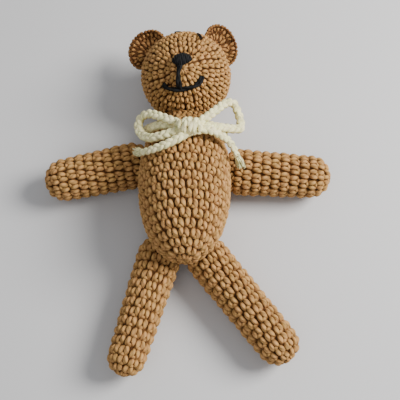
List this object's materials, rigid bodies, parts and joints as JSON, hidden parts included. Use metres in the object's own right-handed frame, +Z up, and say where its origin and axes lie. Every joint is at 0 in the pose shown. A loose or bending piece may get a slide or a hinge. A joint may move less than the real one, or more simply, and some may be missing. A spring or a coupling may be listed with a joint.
{
  "type": "jointed teddy bear",
  "caption": "Crocheted teddy bear lying on its back, with thread-jointed head, arms and legs, stitched face and a cord bow round its neck.",
  "frame": {"origin": "middle of the flat patch of the back that the bear lies on", "axes": "+Z up, out of the belly; +Y towards the head; +X to the viewer's right when looking down at the belly with the head up"},
  "size_m": [0.1599, 0.2006, 0.0575],
  "materials": {
    "brown_yarn": "worsted yarn in single crochet, matt and slightly fuzzy",
    "cream_yarn": "cotton cord, braided, soft sheen",
    "black_yarn": "embroidery yarn, matt",
    "stuffing": "loose polyester fibre",
    "joint_thread": "waxed thread",
    "button": "plain sew-through button"
  },
  "bodies": {
    "torso": {"torso_cover": "brown_yarn", "torso_stuffing": "stuffing", "shoulder_thread": "joint_thread", "hip_thread": "joint_thread", "neck_thread": "joint_thread", "neck_band": "cream_yarn", "bow_knot": "cream_yarn", "bow_loop_left": "cream_yarn", "bow_loop_right": "cream_yarn", "bow_tail_left": "cream_yarn", "bow_tail_right": "cream_yarn", "bow_tuft_left": "cream_yarn", "bow_tuft_right": "cream_yarn"},
    "neck": {"neck_knot": "joint_thread"},
    "head": {"head_cover": "brown_yarn", "head_stuffing": "stuffing", "head_button": "button", "nose": "black_yarn", "mouth_stem": "black_yarn", "smile": "black_yarn", "left_eye": "black_yarn", "right_eye": "black_yarn", "left_ear": "brown_yarn", "right_ear": "brown_yarn"},
    "left_shoulder": {"left_shoulder_knot": "joint_thread"},
    "left_arm": {"left_arm_cover": "brown_yarn", "left_arm_stuffing": "stuffing", "left_arm_button": "button"},
    "right_shoulder": {"right_shoulder_knot": "joint_thread"},
    "right_arm": {"right_arm_cover": "brown_yarn", "right_arm_stuffing": "stuffing", "right_arm_button": "button"},
    "left_hip": {"left_hip_knot": "joint_thread"},
    "left_leg": {"left_leg_cover": "brown_yarn", "left_leg_stuffing": "stuffing", "left_leg_button": "button"},
    "right_hip": {"right_hip_knot": "joint_thread"},
    "right_leg": {"right_leg_cover": "brown_yarn", "right_leg_stuffing": "stuffing", "right_leg_button": "button"}
  },
  "joints": [
    {"name": "head_turn", "type": "hinge", "parent": "torso", "child": "neck", "pos_m": [0.0002, 0.0602, 0.0261], "axis": [0, 1, 0], "range_deg": [-45, 45], "deforming": ["neck_thread"]},
    {"name": "head_nod", "type": "hinge", "parent": "neck", "child": "head", "pos_m": [0.0002, 0.0602, 0.0261], "axis": [1, 0, 0], "range_deg": [-20, 20]},
    {"name": "left_shoulder_swing", "type": "hinge", "parent": "torso", "child": "left_shoulder", "pos_m": [-0.03, 0.01, 0.0135], "axis": [0, 0, 1], "range_deg": [-45, 30], "deforming": ["shoulder_thread"]},
    {"name": "left_shoulder_lift", "type": "hinge", "parent": "left_shoulder", "child": "left_arm", "pos_m": [-0.03, 0.01, 0.0135], "axis": [-0.225, 0.9744, 0], "range_deg": [-30, 22]},
    {"name": "right_shoulder_swing", "type": "hinge", "parent": "torso", "child": "right_shoulder", "pos_m": [0.032, 0.006, 0.0135], "axis": [0, 0, 1], "range_deg": [-38, 45], "deforming": ["shoulder_thread"]},
    {"name": "right_shoulder_lift", "type": "hinge", "parent": "right_shoulder", "child": "right_arm", "pos_m": [0.032, 0.006, 0.0135], "axis": [-0.0698, -0.9976, 0], "range_deg": [-30, 22]},
    {"name": "left_hip_swing", "type": "hinge", "parent": "torso", "child": "left_hip", "pos_m": [-0.0136, -0.0435, 0.0124], "axis": [0, 0, 1], "range_deg": [-35, 12], "deforming": ["hip_thread"]},
    {"name": "left_hip_lift", "type": "hinge", "parent": "left_hip", "child": "left_leg", "pos_m": [-0.0136, -0.0435, 0.0124], "axis": [-0.9613, 0.2756, 0], "range_deg": [-30, 20]},
    {"name": "right_hip_swing", "type": "hinge", "parent": "torso", "child": "right_hip", "pos_m": [0.0126, -0.0445, 0.0124], "axis": [0, 0, 1], "range_deg": [-34, 16], "deforming": ["hip_thread"]},
    {"name": "right_hip_lift", "type": "hinge", "parent": "right_hip", "child": "right_leg", "pos_m": [0.0126, -0.0445, 0.0124], "axis": [-0.788, -0.6157, 0], "range_deg": [-30, 15]}
  ]
}
